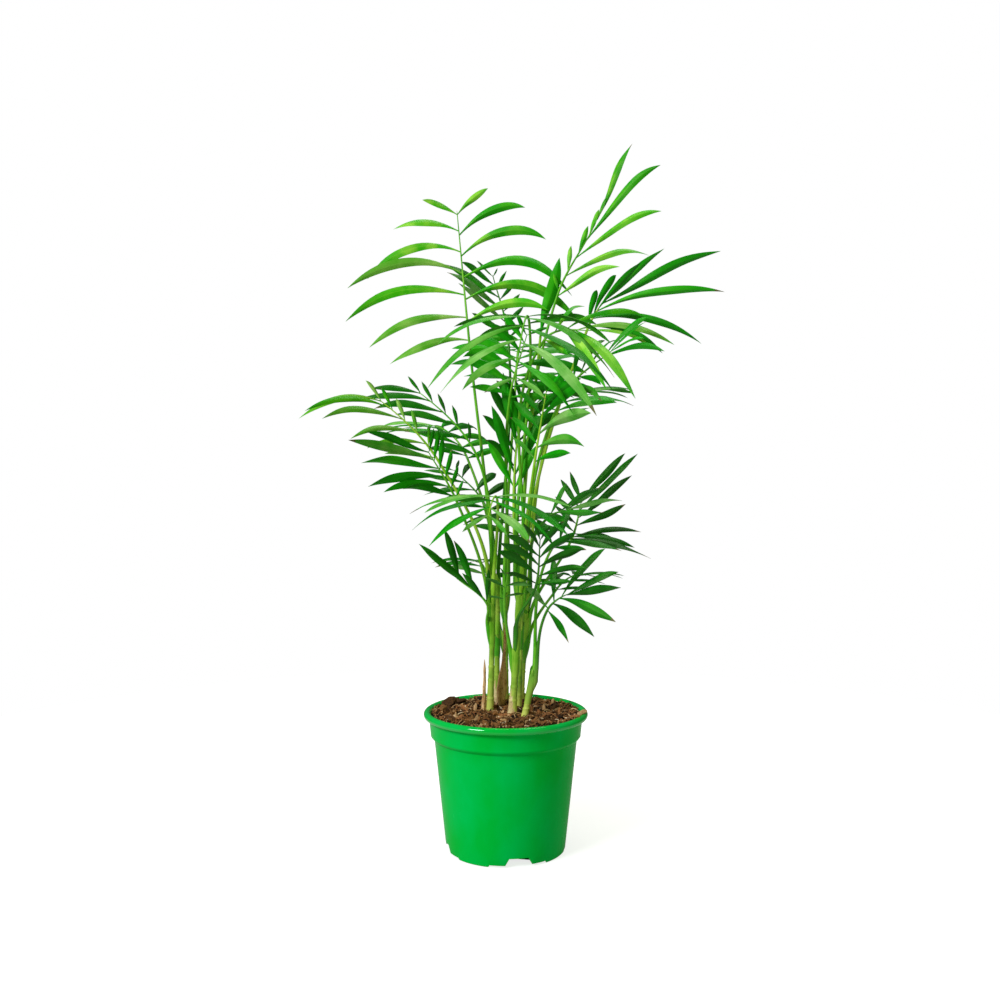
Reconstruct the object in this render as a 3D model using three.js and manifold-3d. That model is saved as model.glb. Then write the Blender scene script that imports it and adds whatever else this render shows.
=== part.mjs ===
// A parlour palm (Chamaedorea elegans) in its plastic nursery pot. Millimetres, +Z up.
// The origin is the middle of the pot's flat underside, +X is the plant's right and +Y its back.

import * as THREE from "three";
import { mergeVertices } from "three/addons/utils/BufferGeometryUtils.js";
import Module from "manifold-3d";

const wasm = await Module();
wasm.setup();

// ---------------------------------------------------------------- sizes

const CLEARANCE = 0.3; // between two pieces that rest on each other
const WELD = 1e-4; // vertices nearer than this are one
const SLIVER = 1e-6; // volume shared by two solids above which they touch
const DEGREE = Math.PI / 180;
const UP = new THREE.Vector3(0, 0, 1);

const POT = {
  rimRadius: 60,
  rollRadius: 2.6, // of the rolled rim's round section
  rollMiddle: 98.6,
  rollCorners: [-75, -15, 30, 80, 130], // degrees round that section, from its outer bottom
  rollInside: 0.6, // how far the wall's top lies above the roll's middle
  bandTopRadius: 56,
  bandRadius: 54.8,
  bandBottom: 83.4,
  stepBottom: 80.8,
  bodyTopRadius: 52.2,
  footRadius: 43.6,
  footChamfer: 0.6,
  wall: 1.8,
  floor: 8,
  sides: 36,
};

// Drainage channels under the foot, each in the middle of a wide shallow one. Angles run from the
// front towards the right.
const CHANNELS = {
  angles: [-168, -78, 12, 102],
  cuts: [
    { width: 21, topWidth: 14, height: 6.6 },
    { width: 42, topWidth: 40, height: 1.6 },
  ],
  reach: 22, // inwards from the foot's edge
  below: 1, // how far the cutting bar sticks out under the foot
};

const SOIL = {
  top: 98.5,
  level: 38, // radius of the level middle that the canes stand on
  shoulder: 46, // radius and height of the uneven ring round it
  shoulderTop: 98.6,
  edge: 98.1,
  gap: 0.45, // to the pot's wall, which is flat between its corners
  lump: 0.9,
  lumpSpan: 9,
  sides: 28,
};

const CANE = {
  sides: 6,
  steps: 6,
  flare: 0.3, // how much thicker a cane is at the soil
  flareHeight: 9,
  bow: [0.45, 0.6], // how far the middle of a cane stands out to the right and to the back
  bulbAt: 15, // how high the bulb of a dead sheath stands
  bulbSpan: 14,
};

const RIB = {
  sides: 3,
  steps: 6, // along the petiole, and again along the blade
  seatings: 4, // times that a petiole's foot is moved up to its cane
  seatReach: 6,
  lean: 3, // how far a petiole moves off its cane as it starts to rise
  handle: 0.35, // how long the curves run straight at the foot and at the crown
  archAt: 0.68,
  archPull: 2.5,
  footRadius: 2,
  footFade: 14,
  petioleRadius: 1.5,
  crownRadius: 1.15,
  tipRadius: 0.6,
};

const LEAFLET = {
  sides: 3,
  rootWidth: 0.9, // half width and half thickness on the rib's axis
  rootThickness: 0.42,
  thickness: 0.0068, // half thickness as a share of the length
  thinnest: 0.42,
  stations: [0, 0.35, 0.72, 1], // places of the four rings, as shares of the length
  widths: [0, 0.95, 0.9, 0],
  thins: [0, 1, 0.8, 0],
  bend: 2.2, // the power of the length by which a leaflet droops and sweeps
  first: 0.12, // place of the first pair, as a share of the space between pairs
  stagger: 0.1, // how far the left one is ahead of the pair's place, and the right one behind it
  inset: 0.8,
  last: 0.97,
  slim: 0.45, // width that a leaflet keeps however short it is
  shortBase: 0.4, // how much shorter the first and the last leaflets are
  shortTip: 0.95,
  cuts: [1, 0.82, 0.66], // lengths that are tried where other pieces are near
  air: 0.3, // kept free on every side
};

// How uneven the leaflets are: degrees of spread, and shares of lift, length and droop.
const UNEVEN = { spread: 5, lift: 0.08, length: 0.08, droop: 0.2 };
const SEEDS = { frond: 31, lift: 40, length: 80, droop: 120 };

// Canes: where each stands, how far its top leans over, its height and its radii.
const CANES = {
  left: { at: [-11.6, 7], lean: [2, 2], height: 100, foot: 2.3, top: 1.7 },
  middle: { at: [-7, 27.4], lean: [0.5, -4], height: 98, foot: 2.3, top: 1.7 },
  front: { at: [4.5, -9.3], lean: [6.5, 5], height: 112, foot: 2.8, top: 1.9 },
  back: { at: [11.9, 37.2], lean: [4, 2], height: 88, foot: 2.2, top: 1.7 },
  right: { at: [13.3, -14.9], lean: [6.2, 2], height: 34, foot: 2.2, top: 1.8 },
  centre: { at: [9, 14.3], lean: [3, 2], height: 118, foot: 2.6, top: 1.8 },
  far: { at: [0, 39.6], lean: [-1, 2], height: 84, foot: 2.3, top: 1.7 },
};

// A dead sheath and a dead stub that stand among the canes.
const DEAD = {
  dead_sheath: { at: [-4, 20.1], lean: [4, -4], height: 66, foot: 1.5, top: 0.6, bulb: 2.4 },
  dead_stub: { at: [-16.6, 6.2], lean: [1, 1], height: 38, foot: 1.3, top: 0.6 },
};

// Fronds. cane, up and foot say which cane the petiole leaves, how high, and on which side of it, in
// degrees from +X towards +Y. turn is the way the blade heads, in the same degrees. The leaflets begin
// at crown and the rib ends at tip. arch lifts the middle of the blade. leaf and wide are the size of
// the longest leaflet, which stands at the share peak of the blade. spread is a leaflet's angle to the
// rib at the crown and at the tip, and bias opens the left side and closes the right. lift is how far
// leaflets rise out of the blade's plane. droop, at the crown and at the tip, and sweep are how far
// their tips bend down and forward. roll turns the blade about its rib. left and right scale the
// leaflets of one side.
const FROND = {
  arch: 0, wide: 9, spread: [75, 40], bias: 0, lift: 0.15, droop: [0.35, 0.35], sweep: 0.1, roll: 0,
  peak: 0.42, left: 1, right: 1, tone: "leaf",
};
const FRONDS = [
  { name: "frond_tall_left", cane: "middle", up: 97, foot: 190, turn: 90, crown: [-27, 25, 370],
    tip: [-37, 40, 474], right: 1.12, pairs: 7, leaf: 90, wide: 7, spread: [76, 52], bias: 4,
    droop: [0.5, 0.6], sweep: 0, tone: "young" },
  { name: "frond_tall_left_back", cane: "middle", up: 70, foot: 90, turn: 110, crown: [2, 45, 378],
    tip: [-10, 64, 430], pairs: 6, leaf: 52, wide: 7, spread: [55, 40], right: 0.45,
    droop: [0.15, 0.15], tone: "dark" },
  { name: "frond_tall_right", cane: "centre", up: 60, foot: 74, turn: 75, crown: [38, 17, 405],
    tip: [70, 30, 468], arch: -5, pairs: 5, leaf: 92, wide: 7, left: 0.28, spread: [38, -2], bias: -4,
    peak: 0.8, droop: [0.4, 0.1], sweep: 0, tone: "young" },
  { name: "frond_spear", cane: "back", up: 78, foot: 150, turn: 90, crown: [26, 22, 376],
    tip: [28, 23, 391], pairs: 1, leaf: 74, wide: 13, spread: [8, 5], left: 0.5, droop: [0, 0],
    sweep: 0 },
  { name: "frond_front_high", cane: "front", up: 96, foot: 165, turn: -92, crown: [17, -9, 380],
    tip: [6, -62, 336], arch: 16, pairs: 7, leaf: 70, wide: 7, spread: [84, 60], droop: [0.5, 0.5],
    right: 0.9 },
  { name: "frond_right_high", cane: "centre", up: 90, foot: -50, turn: 90, crown: [59, -12, 379],
    tip: [68, -18, 395], pairs: 4, leaf: 94, wide: 6.5, spread: [40, 6], bias: -20, left: 0.62,
    peak: 0.97, droop: [0.75, 0.02], sweep: 0 },
  { name: "frond_right_pale", cane: "front", up: 111, foot: 30, turn: -5, crown: [27, -24, 368],
    tip: [56, -36, 373], arch: 3, pairs: 5, leaf: 62, wide: 7, roll: 40, peak: 0.8, spread: [75, 18],
    droop: [0.5, 0.5], tone: "young" },
  { name: "frond_centre_mid", cane: "centre", up: 104, foot: 200, turn: 90, crown: [6, 14, 262],
    tip: [10, 19, 312], pairs: 6, leaf: 60, wide: 8, spread: [28, 12], droop: [0.1, 0.1] },
  { name: "frond_right_mid", cane: "front", up: 84, foot: 0, turn: -20, crown: [41, -35, 330],
    tip: [72, -48, 358], pairs: 7, leaf: 54, wide: 6, roll: 40, peak: 0.7, spread: [72, 12],
    droop: [0.4, 0.4] },
  { name: "frond_right_broad", cane: "front", up: 100, foot: -70, turn: 30, crown: [20, -33, 282],
    tip: [28, -38, 332], pairs: 6, leaf: 58, wide: 8.5, roll: 20, left: 0.6, spread: [58, 35],
    droop: [0.4, 0.4] },
  { name: "frond_right_low", cane: "back", up: 60, foot: 10, turn: 60, crown: [51, 20, 229],
    tip: [57, 26, 253], pairs: 5, leaf: 58, spread: [75, 32], wide: 6.5, left: 0.5, peak: 0.9,
    droop: [0.1, 0.1], tone: "dark" },
  { name: "frond_right_small", cane: "back", up: 80, foot: 10, turn: 0, crown: [30, -20, 243],
    tip: [44, -24, 249], pairs: 3, leaf: 38, wide: 7, roll: 45, spread: [40, 10], peak: 0.9,
    droop: [0.15, 0.15], tone: "dark" },
  { name: "frond_right_out", cane: "right", up: 33, foot: 60, turn: 10, crown: [34, -2, 220],
    tip: [50, 1, 228], arch: 2, pairs: 4, leaf: 56, roll: 35, wide: 6.5, peak: 0.9, spread: [72, 8],
    droop: [0.3, 0.3], tone: "dark" },
  { name: "frond_right_foot", cane: "right", up: 26, foot: -20, turn: -10, crown: [29, -30, 178],
    tip: [43, -36, 190], arch: 2, pairs: 4, leaf: 50, wide: 7, roll: 50, peak: 0.85, spread: [90, 8],
    droop: [0.45, 0.12], tone: "dark" },
  { name: "frond_left_foot", cane: "left", up: 62, foot: 200, turn: 180, crown: [-14, -5, 180],
    tip: [-35, -8, 198], pairs: 3, leaf: 42, wide: 6, roll: -70, peak: 0.9, spread: [18, 16],
    bias: -20, droop: [0.05, 0.05], tone: "dark" },
  { name: "frond_front_low", cane: "left", up: 90, foot: -80, turn: -90, crown: [-6, -20, 254],
    tip: [-12, -58, 245], arch: 8, pairs: 6, leaf: 60, wide: 8, spread: [80, 46], droop: [0.32, 0.38] },
  { name: "frond_left_mid", cane: "left", up: 76, foot: 215, turn: 170, crown: [-36, -15, 256],
    tip: [-55, -26, 290], pairs: 6, leaf: 64, wide: 6.5, roll: -60, right: 0.4, spread: [46, 41],
    droop: [0.5, 0.05], peak: 0.8 },
  { name: "frond_left_far", cane: "left", up: 98, foot: 170, turn: 180, crown: [-49, 0, 283],
    tip: [-91, -8, 327], arch: 4, pairs: 6, leaf: 62, wide: 5, roll: -55, right: 0.35, peak: 0.95,
    spread: [50, 20], droop: [0.35, 0.5], tone: "young" },
  { name: "frond_left_dark", cane: "left", up: 84, foot: 110, turn: 150, crown: [-20, 11, 284],
    tip: [-65, 22, 335], arch: 5, pairs: 6, leaf: 50, wide: 5.5, roll: -60, right: 0.4, peak: 0.85,
    spread: [38, 20], droop: [0.3, 0.3], tone: "dark" },
  { name: "frond_centre_dark", cane: "centre", up: 112, foot: 130, turn: 90, crown: [7, 30, 277],
    tip: [13, 34, 329], pairs: 6, leaf: 54, wide: 7, spread: [42, 22], tone: "dark" },
  { name: "frond_centre_high", cane: "far", up: 80, foot: 20, turn: 90, crown: [3, 14, 330],
    tip: [16, 18, 378], pairs: 7, leaf: 52, wide: 8, spread: [75, 45], droop: [0.5, 0.4] },
  { name: "frond_centre_low", cane: "front", up: 60, foot: -110, turn: 90, crown: [21, -35, 196],
    tip: [23, -56, 230], pairs: 6, leaf: 42, wide: 7, spread: [62, 20], droop: [0.2, 0.2],
    tone: "dark" },
  { name: "frond_centre_small", cane: "front", up: 44, foot: -170, turn: -100, crown: [-1, -25, 185],
    tip: [1, -36, 203], pairs: 3, leaf: 20, wide: 6, tone: "dark" },
  { name: "frond_back_left_dark", cane: "middle", up: 52, foot: 150, turn: 160, crown: [-14, 36, 246],
    tip: [-40, 62, 277], pairs: 6, leaf: 42, roll: -30, tone: "dark" },
  { name: "frond_back_high", cane: "far", up: 84, foot: 85, turn: 85, crown: [8, 60, 346],
    tip: [12, 128, 379], arch: 14, pairs: 7, leaf: 66 },
  { name: "frond_back_right", cane: "back", up: 86, foot: 40, turn: 55, crown: [36, 62, 314],
    tip: [66, 116, 340], arch: 12, pairs: 7, leaf: 60 },
  { name: "frond_back_left", cane: "far", up: 76, foot: 150, turn: 130, crown: [-30, 66, 286],
    tip: [-66, 114, 313], arch: 12, pairs: 7, leaf: 58 },
  { name: "frond_back_mid", cane: "back", up: 70, foot: 95, turn: 95, crown: [8, 72, 224],
    tip: [12, 130, 234], arch: 12, pairs: 7, leaf: 54, tone: "dark" },
  { name: "frond_back_low_right", cane: "back", up: 46, foot: 20, turn: 45, crown: [40, 62, 182],
    tip: [66, 92, 191], arch: 6, pairs: 5, leaf: 42, tone: "dark" },
  { name: "frond_back_low_left", cane: "far", up: 50, foot: 180, turn: 120, crown: [-14, 66, 192],
    tip: [-26, 102, 201], arch: 8, pairs: 5, leaf: 44, tone: "dark" },
];

// ---------------------------------------------------------------- solids

// A closed geometry as a solid.
function solid(geometry) {
  const bare = geometry.clone();
  bare.deleteAttribute("normal");
  bare.deleteAttribute("uv");
  const merged = mergeVertices(bare, WELD);
  return new wasm.Manifold(
    new wasm.Mesh({
      numProp: 3,
      vertProperties: new Float32Array(merged.attributes.position.array),
      triVerts: new Uint32Array(merged.index.array),
    }),
  );
}

// A solid as a geometry.
function geometryOf(body) {
  const mesh = body.getMesh();
  const geometry = new THREE.BufferGeometry();
  geometry.setAttribute("position", new THREE.BufferAttribute(mesh.vertProperties, 3));
  geometry.setIndex(new THREE.BufferAttribute(mesh.triVerts, 1));
  geometry.computeVertexNormals();
  return geometry;
}

// A geometry that runs from 0 to 1 along its Y axis, bent so that each vertex goes where place says.
function bend(geometry, place) {
  const position = geometry.attributes.position;
  for (let i = 0; i < position.count; i++) {
    const put = place(position.getY(i) + 0.5, position.getX(i), position.getZ(i));
    position.setXYZ(i, put.x, put.y, put.z);
  }
  return geometry;
}

// A small steady unevenness between -1 and 1, from two waves that don't fall in step.
function uneven(number) {
  return Math.sin(number * 2.399) * 0.7 + Math.sin(number * 5.13) * 0.3;
}

// ---------------------------------------------------------------- pot and soil

// Radius of the pot's inside at a height below its step.
function potInside(height) {
  const slope = (POT.bodyTopRadius - POT.footRadius) / POT.stepBottom;
  return POT.footRadius - POT.wall + slope * height;
}

function potGeometry() {
  const { bandTopRadius, bandRadius, bodyTopRadius, footRadius, wall, floor, footChamfer } = POT;
  const roll = POT.rollCorners.map((corner) => [
    POT.rimRadius - POT.rollRadius * (1 - Math.cos(corner * DEGREE)),
    POT.rollMiddle + POT.rollRadius * Math.sin(corner * DEGREE),
  ]);
  const profile = [
    [0, 0],
    [footRadius - footChamfer, 0],
    [footRadius, footChamfer],
    [bodyTopRadius, POT.stepBottom],
    [bandRadius, POT.bandBottom],
    [bandTopRadius, POT.rollMiddle - POT.rollRadius],
    ...roll,
    [bandTopRadius - wall, POT.rollMiddle + POT.rollInside],
    [bandRadius - wall, POT.bandBottom],
    [bodyTopRadius - wall, POT.stepBottom],
    [potInside(floor), floor],
    [0, floor],
  ].map(([radius, height]) => new THREE.Vector2(radius, height));
  const turned = new THREE.LatheGeometry(profile, POT.sides).rotateX(Math.PI / 2);
  const bars = CHANNELS.angles.flatMap((angle) => CHANNELS.cuts.map((cut) => channel(angle, cut)));
  return bars.reduce((pot, bar) => pot.subtract(bar), solid(turned));
}

// One channel, as a wedge-sided bar that lies across the foot's edge.
function channel(angle, { width, topWidth, height }) {
  const half = width / 2;
  const halfTop = topWidth / 2;
  const section = new THREE.Shape([
    new THREE.Vector2(-half, -CHANNELS.below),
    new THREE.Vector2(half, -CHANNELS.below),
    new THREE.Vector2(half, 0),
    new THREE.Vector2(halfTop, height),
    new THREE.Vector2(-halfTop, height),
    new THREE.Vector2(-half, 0),
  ]);
  const length = CHANNELS.reach + POT.wall;
  const bar = new THREE.ExtrudeGeometry(section, { depth: length, bevelEnabled: false });
  bar.rotateX(Math.PI / 2).translate(0, CHANNELS.reach - POT.footRadius, 0);
  return solid(bar.rotateZ(angle * DEGREE));
}

function soilGeometry() {
  const bottom = POT.floor + CLEARANCE;
  const bandInside = POT.bandRadius - POT.wall - SOIL.gap;
  const profile = [
    [0, bottom],
    [potInside(bottom) - SOIL.gap, bottom],
    [POT.bodyTopRadius - POT.wall - SOIL.gap, POT.stepBottom],
    [bandInside, POT.bandBottom],
    [bandInside, SOIL.edge],
    [SOIL.shoulder, SOIL.shoulderTop],
    [SOIL.level, SOIL.top],
    [0, SOIL.top],
  ].map(([radius, height]) => new THREE.Vector2(radius, height));
  const geometry = new THREE.LatheGeometry(profile, SOIL.sides).rotateX(Math.PI / 2);
  const position = geometry.attributes.position;
  for (let i = 0; i < position.count; i++) {
    const [x, y, z] = [position.getX(i), position.getY(i), position.getZ(i)];
    const lump = SOIL.lump * uneven(x / SOIL.lumpSpan) * uneven(y / SOIL.lumpSpan);
    if (Math.abs(z - SOIL.shoulderTop) < WELD) position.setZ(i, z + lump);
  }
  return solid(geometry);
}

// ---------------------------------------------------------------- canes

function caneFoot(cane) {
  return new THREE.Vector3(cane.at[0], cane.at[1], SOIL.top + CLEARANCE);
}

// A point on a cane's axis, by its height above its foot.
function caneAxis(cane, up) {
  const share = up / cane.height;
  const bow = Math.sin(Math.PI * share);
  const x = cane.lean[0] * share + CANE.bow[0] * bow;
  const y = cane.lean[1] * share + CANE.bow[1] * bow;
  return caneFoot(cane).add(new THREE.Vector3(x, y, up));
}

function caneRadius(cane, up) {
  const share = up / cane.height;
  const flare = 1 + CANE.flare * Math.exp(-up / CANE.flareHeight);
  const bulb = cane.bulb ? cane.bulb * Math.exp(-(((up - CANE.bulbAt) / CANE.bulbSpan) ** 2)) : 0;
  return (cane.foot + (cane.top - cane.foot) * share) * flare + bulb;
}

function caneGeometry(cane) {
  const tube = new THREE.CylinderGeometry(1, 1, 1, CANE.sides, CANE.steps);
  return solid(
    bend(tube, (share, across, deep) => {
      const up = share * cane.height;
      const radius = caneRadius(cane, up);
      return caneAxis(cane, up).add(new THREE.Vector3(across * radius, -deep * radius, 0));
    }),
  );
}

// ---------------------------------------------------------------- fronds

// A level direction, by its angle from +X towards +Y.
function level(angle) {
  return new THREE.Vector3(Math.cos(angle * DEGREE), Math.sin(angle * DEGREE), 0);
}

// The rib of a frond: its petiole and its blade as two curves that meet at the crown.
// stand is how far its foot is from the cane's axis.
function ribOf(frond, stand) {
  const heading = level(frond.turn);
  const foot = caneAxis(CANES[frond.cane], frond.up).addScaledVector(level(frond.foot), stand);
  const crown = new THREE.Vector3(...frond.crown);
  const tip = new THREE.Vector3(...frond.tip);
  const rise = crown.distanceTo(foot);
  const reach = tip.distanceTo(crown);
  const along = crown.clone().sub(foot).normalize().add(tip.clone().sub(crown).normalize());
  along.addScaledVector(UP, (RIB.archPull * frond.arch) / reach).normalize();
  const petiole = new THREE.CubicBezierCurve3(
    foot,
    foot.clone().addScaledVector(UP, rise * RIB.handle).addScaledVector(level(frond.foot), RIB.lean),
    crown.clone().addScaledVector(along, -rise * RIB.handle),
    crown,
  );
  const blade = new THREE.CubicBezierCurve3(
    crown,
    crown.clone().addScaledVector(along, reach * RIB.handle),
    crown.clone().lerp(tip, RIB.archAt).addScaledVector(UP, frond.arch),
    tip,
  );
  const side = new THREE.Vector3(-heading.y, heading.x, 0);
  return { petiole, blade, side };
}

// The rib's axes at a tangent: side to the left of the heading, and face towards the sky.
function axesAt(tangent, side, roll) {
  const left = side.clone().addScaledVector(tangent, -side.dot(tangent)).normalize();
  const face = tangent.clone().cross(left);
  const turn = roll * DEGREE;
  return {
    left: left.clone().multiplyScalar(Math.cos(turn)).addScaledVector(face, Math.sin(turn)),
    face: face.clone().multiplyScalar(Math.cos(turn)).addScaledVector(left, -Math.sin(turn)),
  };
}

// The first half of a rib's length is its petiole and the second half its blade.
function ribRadius(share) {
  const { footRadius, petioleRadius, crownRadius, tipRadius } = RIB;
  if (share > 0.5) return crownRadius + (tipRadius - crownRadius) * (share - 0.5) * 2;
  const low = petioleRadius + (crownRadius - petioleRadius) * share * 2;
  return low + (footRadius - petioleRadius) * Math.exp(-share * RIB.footFade);
}

function ribSolid(frond, rib) {
  const tube = new THREE.CylinderGeometry(1, 1, 1, RIB.sides, 2 * RIB.steps);
  return solid(
    bend(tube, (share, across, deep) => {
      const onBlade = share > 0.5;
      const curve = onBlade ? rib.blade : rib.petiole;
      const t = onBlade ? share * 2 - 1 : share * 2;
      const { left, face } = axesAt(curve.getTangent(t), rib.side, frond.roll);
      const radius = ribRadius(share);
      const put = curve.getPoint(t).addScaledVector(left, -across * radius);
      return put.addScaledVector(face, deep * radius);
    }),
  );
}

// A frond's rib and its solid, with its foot moved in until it lies CLEARANCE off its cane.
function seatedRib(frond) {
  const cane = caneGeometry(CANES[frond.cane]);
  let stand = caneRadius(CANES[frond.cane], frond.up) + CLEARANCE + RIB.footRadius;
  let rib = ribOf(frond, stand);
  let body = ribSolid(frond, rib);
  for (let turn = 0; turn < RIB.seatings; turn++) {
    stand += CLEARANCE - body.minGap(cane, RIB.seatReach);
    rib = ribOf(frond, stand);
    body = ribSolid(frond, rib);
  }
  return { rib, body };
}

// Share of the longest leaflet's length at a place on the blade.
function lengthAt(t, peak) {
  if (t < peak) return 1 - LEAFLET.shortBase * ((peak - t) / peak) ** 2;
  return 1 - LEAFLET.shortTip * (1 - peak) ** 0.5 * ((t - peak) / (1 - peak)) ** 2;
}

// Every leaflet of a frond, with its root, direction and sizes.
function leafletsOf(frond, rib, seed) {
  const list = [];
  for (let pair = 0; pair < frond.pairs; pair++) {
    for (const hand of [1, -1]) {
      const number = seed + pair * 2 + (hand > 0 ? 1 : 0);
      const place = pair + LEAFLET.first + hand * LEAFLET.stagger;
      const t = Math.min(LEAFLET.last, place / (frond.pairs - LEAFLET.inset));
      const tangent = rib.blade.getTangent(t);
      const { left, face } = axesAt(tangent, rib.side, frond.roll);
      const bias = hand * frond.bias + UNEVEN.spread * uneven(number);
      const spread = frond.spread[0] + (frond.spread[1] - frond.spread[0]) * t + bias;
      const droop = frond.droop[0] + (frond.droop[1] - frond.droop[0]) * t;
      const share = lengthAt(t, frond.peak) * (hand > 0 ? frond.left : frond.right);
      const along = tangent.clone().multiplyScalar(Math.cos(spread * DEGREE));
      along.addScaledVector(left, hand * Math.sin(spread * DEGREE));
      along.addScaledVector(face, frond.lift + UNEVEN.lift * uneven(number + SEEDS.lift)).normalize();
      list.push({
        root: rib.blade.getPoint(t),
        along,
        face,
        tangent,
        length: frond.leaf * share * (1 + UNEVEN.length * uneven(number + SEEDS.length)),
        width: frond.wide * (LEAFLET.slim + (1 - LEAFLET.slim) * share),
        droop: droop * share * (1 + UNEVEN.droop * uneven(number + SEEDS.droop)),
        sweep: frond.sweep,
      });
    }
  }
  return list;
}

// One leaflet as a three-sided blade along its arc. share shortens it, and swell makes it that much
// larger on every side.
function leafletSolid(leaflet, share, swell) {
  const { root, along, face, tangent, width, droop, sweep } = leaflet;
  const { stations, widths, thins, rootWidth, rootThickness } = LEAFLET;
  const length = leaflet.length * share;
  const halfThick = Math.max(LEAFLET.thinnest, LEAFLET.thickness * leaflet.length);
  const flat = face.clone().addScaledVector(along, -face.dot(along)).normalize();
  const across = along.clone().cross(flat);
  const last = stations.length - 1;
  const cone = new THREE.ConeGeometry(1, 1, LEAFLET.sides, last);
  return solid(
    bend(cone, (height, x, z) => {
      const ring = Math.round(height * last);
      const s = stations[ring] + (ring === last ? swell / length : 0);
      const put = root.clone().addScaledVector(along, s * length);
      const bent = s ** LEAFLET.bend * length;
      put.addScaledVector(UP, -droop * bent).addScaledVector(tangent, sweep * bent);
      if (ring === last) return put;
      const turned = LEAFLET.bend * s ** (LEAFLET.bend - 1);
      const run = along.clone().addScaledVector(UP, -droop * turned);
      run.addScaledVector(tangent, sweep * turned).normalize();
      const wide = across.clone().addScaledVector(run, -across.dot(run)).normalize();
      const thick = wide.clone().cross(run);
      const halfWidth = ring === 0 ? rootWidth : (widths[ring] * width) / 2;
      const half = ring === 0 ? rootThickness : thins[ring] * halfThick;
      const unit = 1 / (1 - height); // undoes the cone's own taper
      put.addScaledVector(wide, x * unit * (halfWidth + swell));
      return put.addScaledVector(thick, z * unit * (half + swell));
    }),
  );
}

// ---------------------------------------------------------------- assembly

const COLOURS = {
  pot: [0x00aa37, 0.32],
  soil: [0x5f3f28, 0.95],
  cane: [0x86b93a, 0.5],
  dead: [0x8a6238, 0.85],
  young: [0x63b52a, 0.42],
  leaf: [0x2f8a24, 0.4],
  dark: [0x1f6a26, 0.4],
};

const palm = new THREE.Group();
const placed = []; // every solid so far, with the piece that it belongs to

function keep(body, owner) {
  placed.push({ body, owner, box: body.boundingBox() });
}

function boxesMeet(a, b) {
  return [0, 1, 2].every((k) => a.min[k] < b.max[k] && b.min[k] < a.max[k]);
}

// True where a solid comes into another piece's solid.
function touches(body, owner) {
  const box = body.boundingBox();
  return placed.some(
    (other) =>
      other.owner !== owner &&
      boxesMeet(box, other.box) &&
      body.intersect(other.body).volume() > SLIVER,
  );
}

function add(name, body, [color, roughness]) {
  const material = new THREE.MeshStandardMaterial({ color, roughness, metalness: 0 });
  const mesh = new THREE.Mesh(geometryOf(body), material);
  mesh.name = name;
  palm.add(mesh);
}

const pot = potGeometry();
const soil = soilGeometry();
keep(pot, "pot");
keep(soil, "soil");
add("pot", pot, COLOURS.pot);
add("soil", soil, COLOURS.soil);

for (const [name, cane] of Object.entries(CANES)) {
  const body = caneGeometry(cane);
  keep(body, `cane_${name}`);
  add(`cane_${name}`, body, COLOURS.cane);
}
for (const [name, cane] of Object.entries(DEAD)) {
  const body = caneGeometry(cane);
  keep(body, name);
  add(name, body, COLOURS.dead);
}

// All ribs come first, so that every leaflet is grown clear of every rib.
const grown = FRONDS.map((sizes) => {
  const frond = { ...FROND, ...sizes };
  const { rib, body } = seatedRib(frond);
  keep(body, frond.name);
  return { frond, rib, body };
});

grown.forEach(({ frond, rib, body }, index) => {
  let whole = body;
  for (const leaflet of leafletsOf(frond, rib, index * SEEDS.frond)) {
    const share = LEAFLET.cuts.find((cut) => {
      return !touches(leafletSolid(leaflet, cut, LEAFLET.air), frond.name);
    });
    if (share === undefined) continue;
    const blade = leafletSolid(leaflet, share, 0);
    keep(blade, frond.name);
    whole = whole.add(blade);
  }
  add(frond.name, whole, COLOURS[frond.tone]);
});

export default palm;
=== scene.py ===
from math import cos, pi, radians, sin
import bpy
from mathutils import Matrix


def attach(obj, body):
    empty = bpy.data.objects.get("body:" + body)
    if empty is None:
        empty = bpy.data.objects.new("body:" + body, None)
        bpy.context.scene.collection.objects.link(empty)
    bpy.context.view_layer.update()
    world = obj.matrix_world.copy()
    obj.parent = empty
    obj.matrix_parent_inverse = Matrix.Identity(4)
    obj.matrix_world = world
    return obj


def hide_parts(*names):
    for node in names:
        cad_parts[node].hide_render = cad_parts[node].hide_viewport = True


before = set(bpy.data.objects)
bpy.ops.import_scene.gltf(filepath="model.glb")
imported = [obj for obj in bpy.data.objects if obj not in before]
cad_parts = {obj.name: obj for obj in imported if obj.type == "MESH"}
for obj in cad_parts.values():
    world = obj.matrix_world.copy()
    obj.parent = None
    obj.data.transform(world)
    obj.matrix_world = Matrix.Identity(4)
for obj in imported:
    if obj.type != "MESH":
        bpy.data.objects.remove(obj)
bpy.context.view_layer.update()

# A parlour palm (Chamaedorea elegans) in its plastic nursery pot. Sizes are in millimetres, in the CAD frame:
# the origin is the middle of the pot's flat underside, +X is the plant's right and +Y its back.

from types import SimpleNamespace as Sizes

import bpy
import numpy as np
from mathutils import Vector, noise

MM = 0.001
UP = np.array([0.0, 0.0, 1.0])
SEED = 20

# ---------------- sizes shared with the source

POT = Sizes(
    rim=60, roll=2.6, roll_middle=98.6, band_top=56, band=54.8, band_bottom=83.4, step_bottom=80.8,
    body_top=52.2, foot=43.6, chamfer=0.6, wall=1.8, floor=8,
)
CHANNELS = Sizes(angles=(-168, -78, 12, 102), reach=22)
CHANNEL_CUTS = (Sizes(width=21, top_width=14, height=6.6), Sizes(width=42, top_width=40, height=1.6))
SOIL_TOP = 98.5
CLEARANCE = 0.3

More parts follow.
